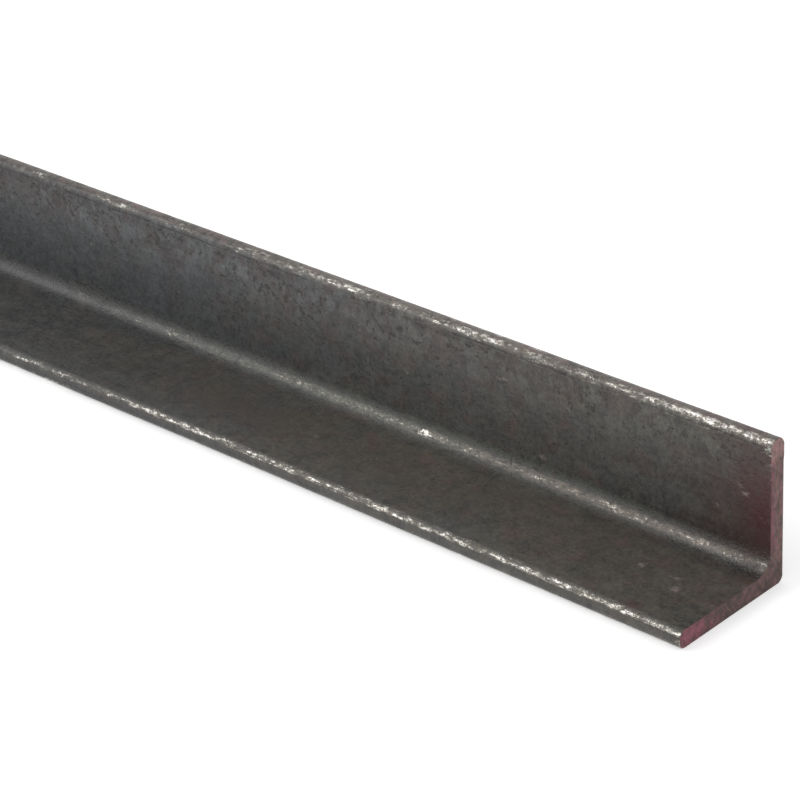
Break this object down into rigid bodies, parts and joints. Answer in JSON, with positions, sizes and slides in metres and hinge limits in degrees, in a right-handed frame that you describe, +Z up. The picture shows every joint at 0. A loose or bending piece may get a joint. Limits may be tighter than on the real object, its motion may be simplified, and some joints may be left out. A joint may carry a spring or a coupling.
{
  "type": "steel angle section",
  "caption": "Equal-leg hot-rolled steel angle, a plain L-shaped bar with a rounded inside corner, square-cut ends and dark mill scale.",
  "frame": {"origin": "on the floor, under the middle of the bar's bounding box", "axes": "+X along the bar, +Y out of the back of the standing leg, +Z up; the flat leg lies on the floor and reaches towards -Y"},
  "size_m": [0.3048, 0.0254, 0.0254],
  "materials": {
    "rolled_steel": "dark hot-rolled mill scale, worn to bare steel along the leg tips and the inside corner, with faded maroon marking paint on one cut end"
  },
  "bodies": {
    "root": {"angle_section": "rolled_steel"}
  },
  "joints": []
}
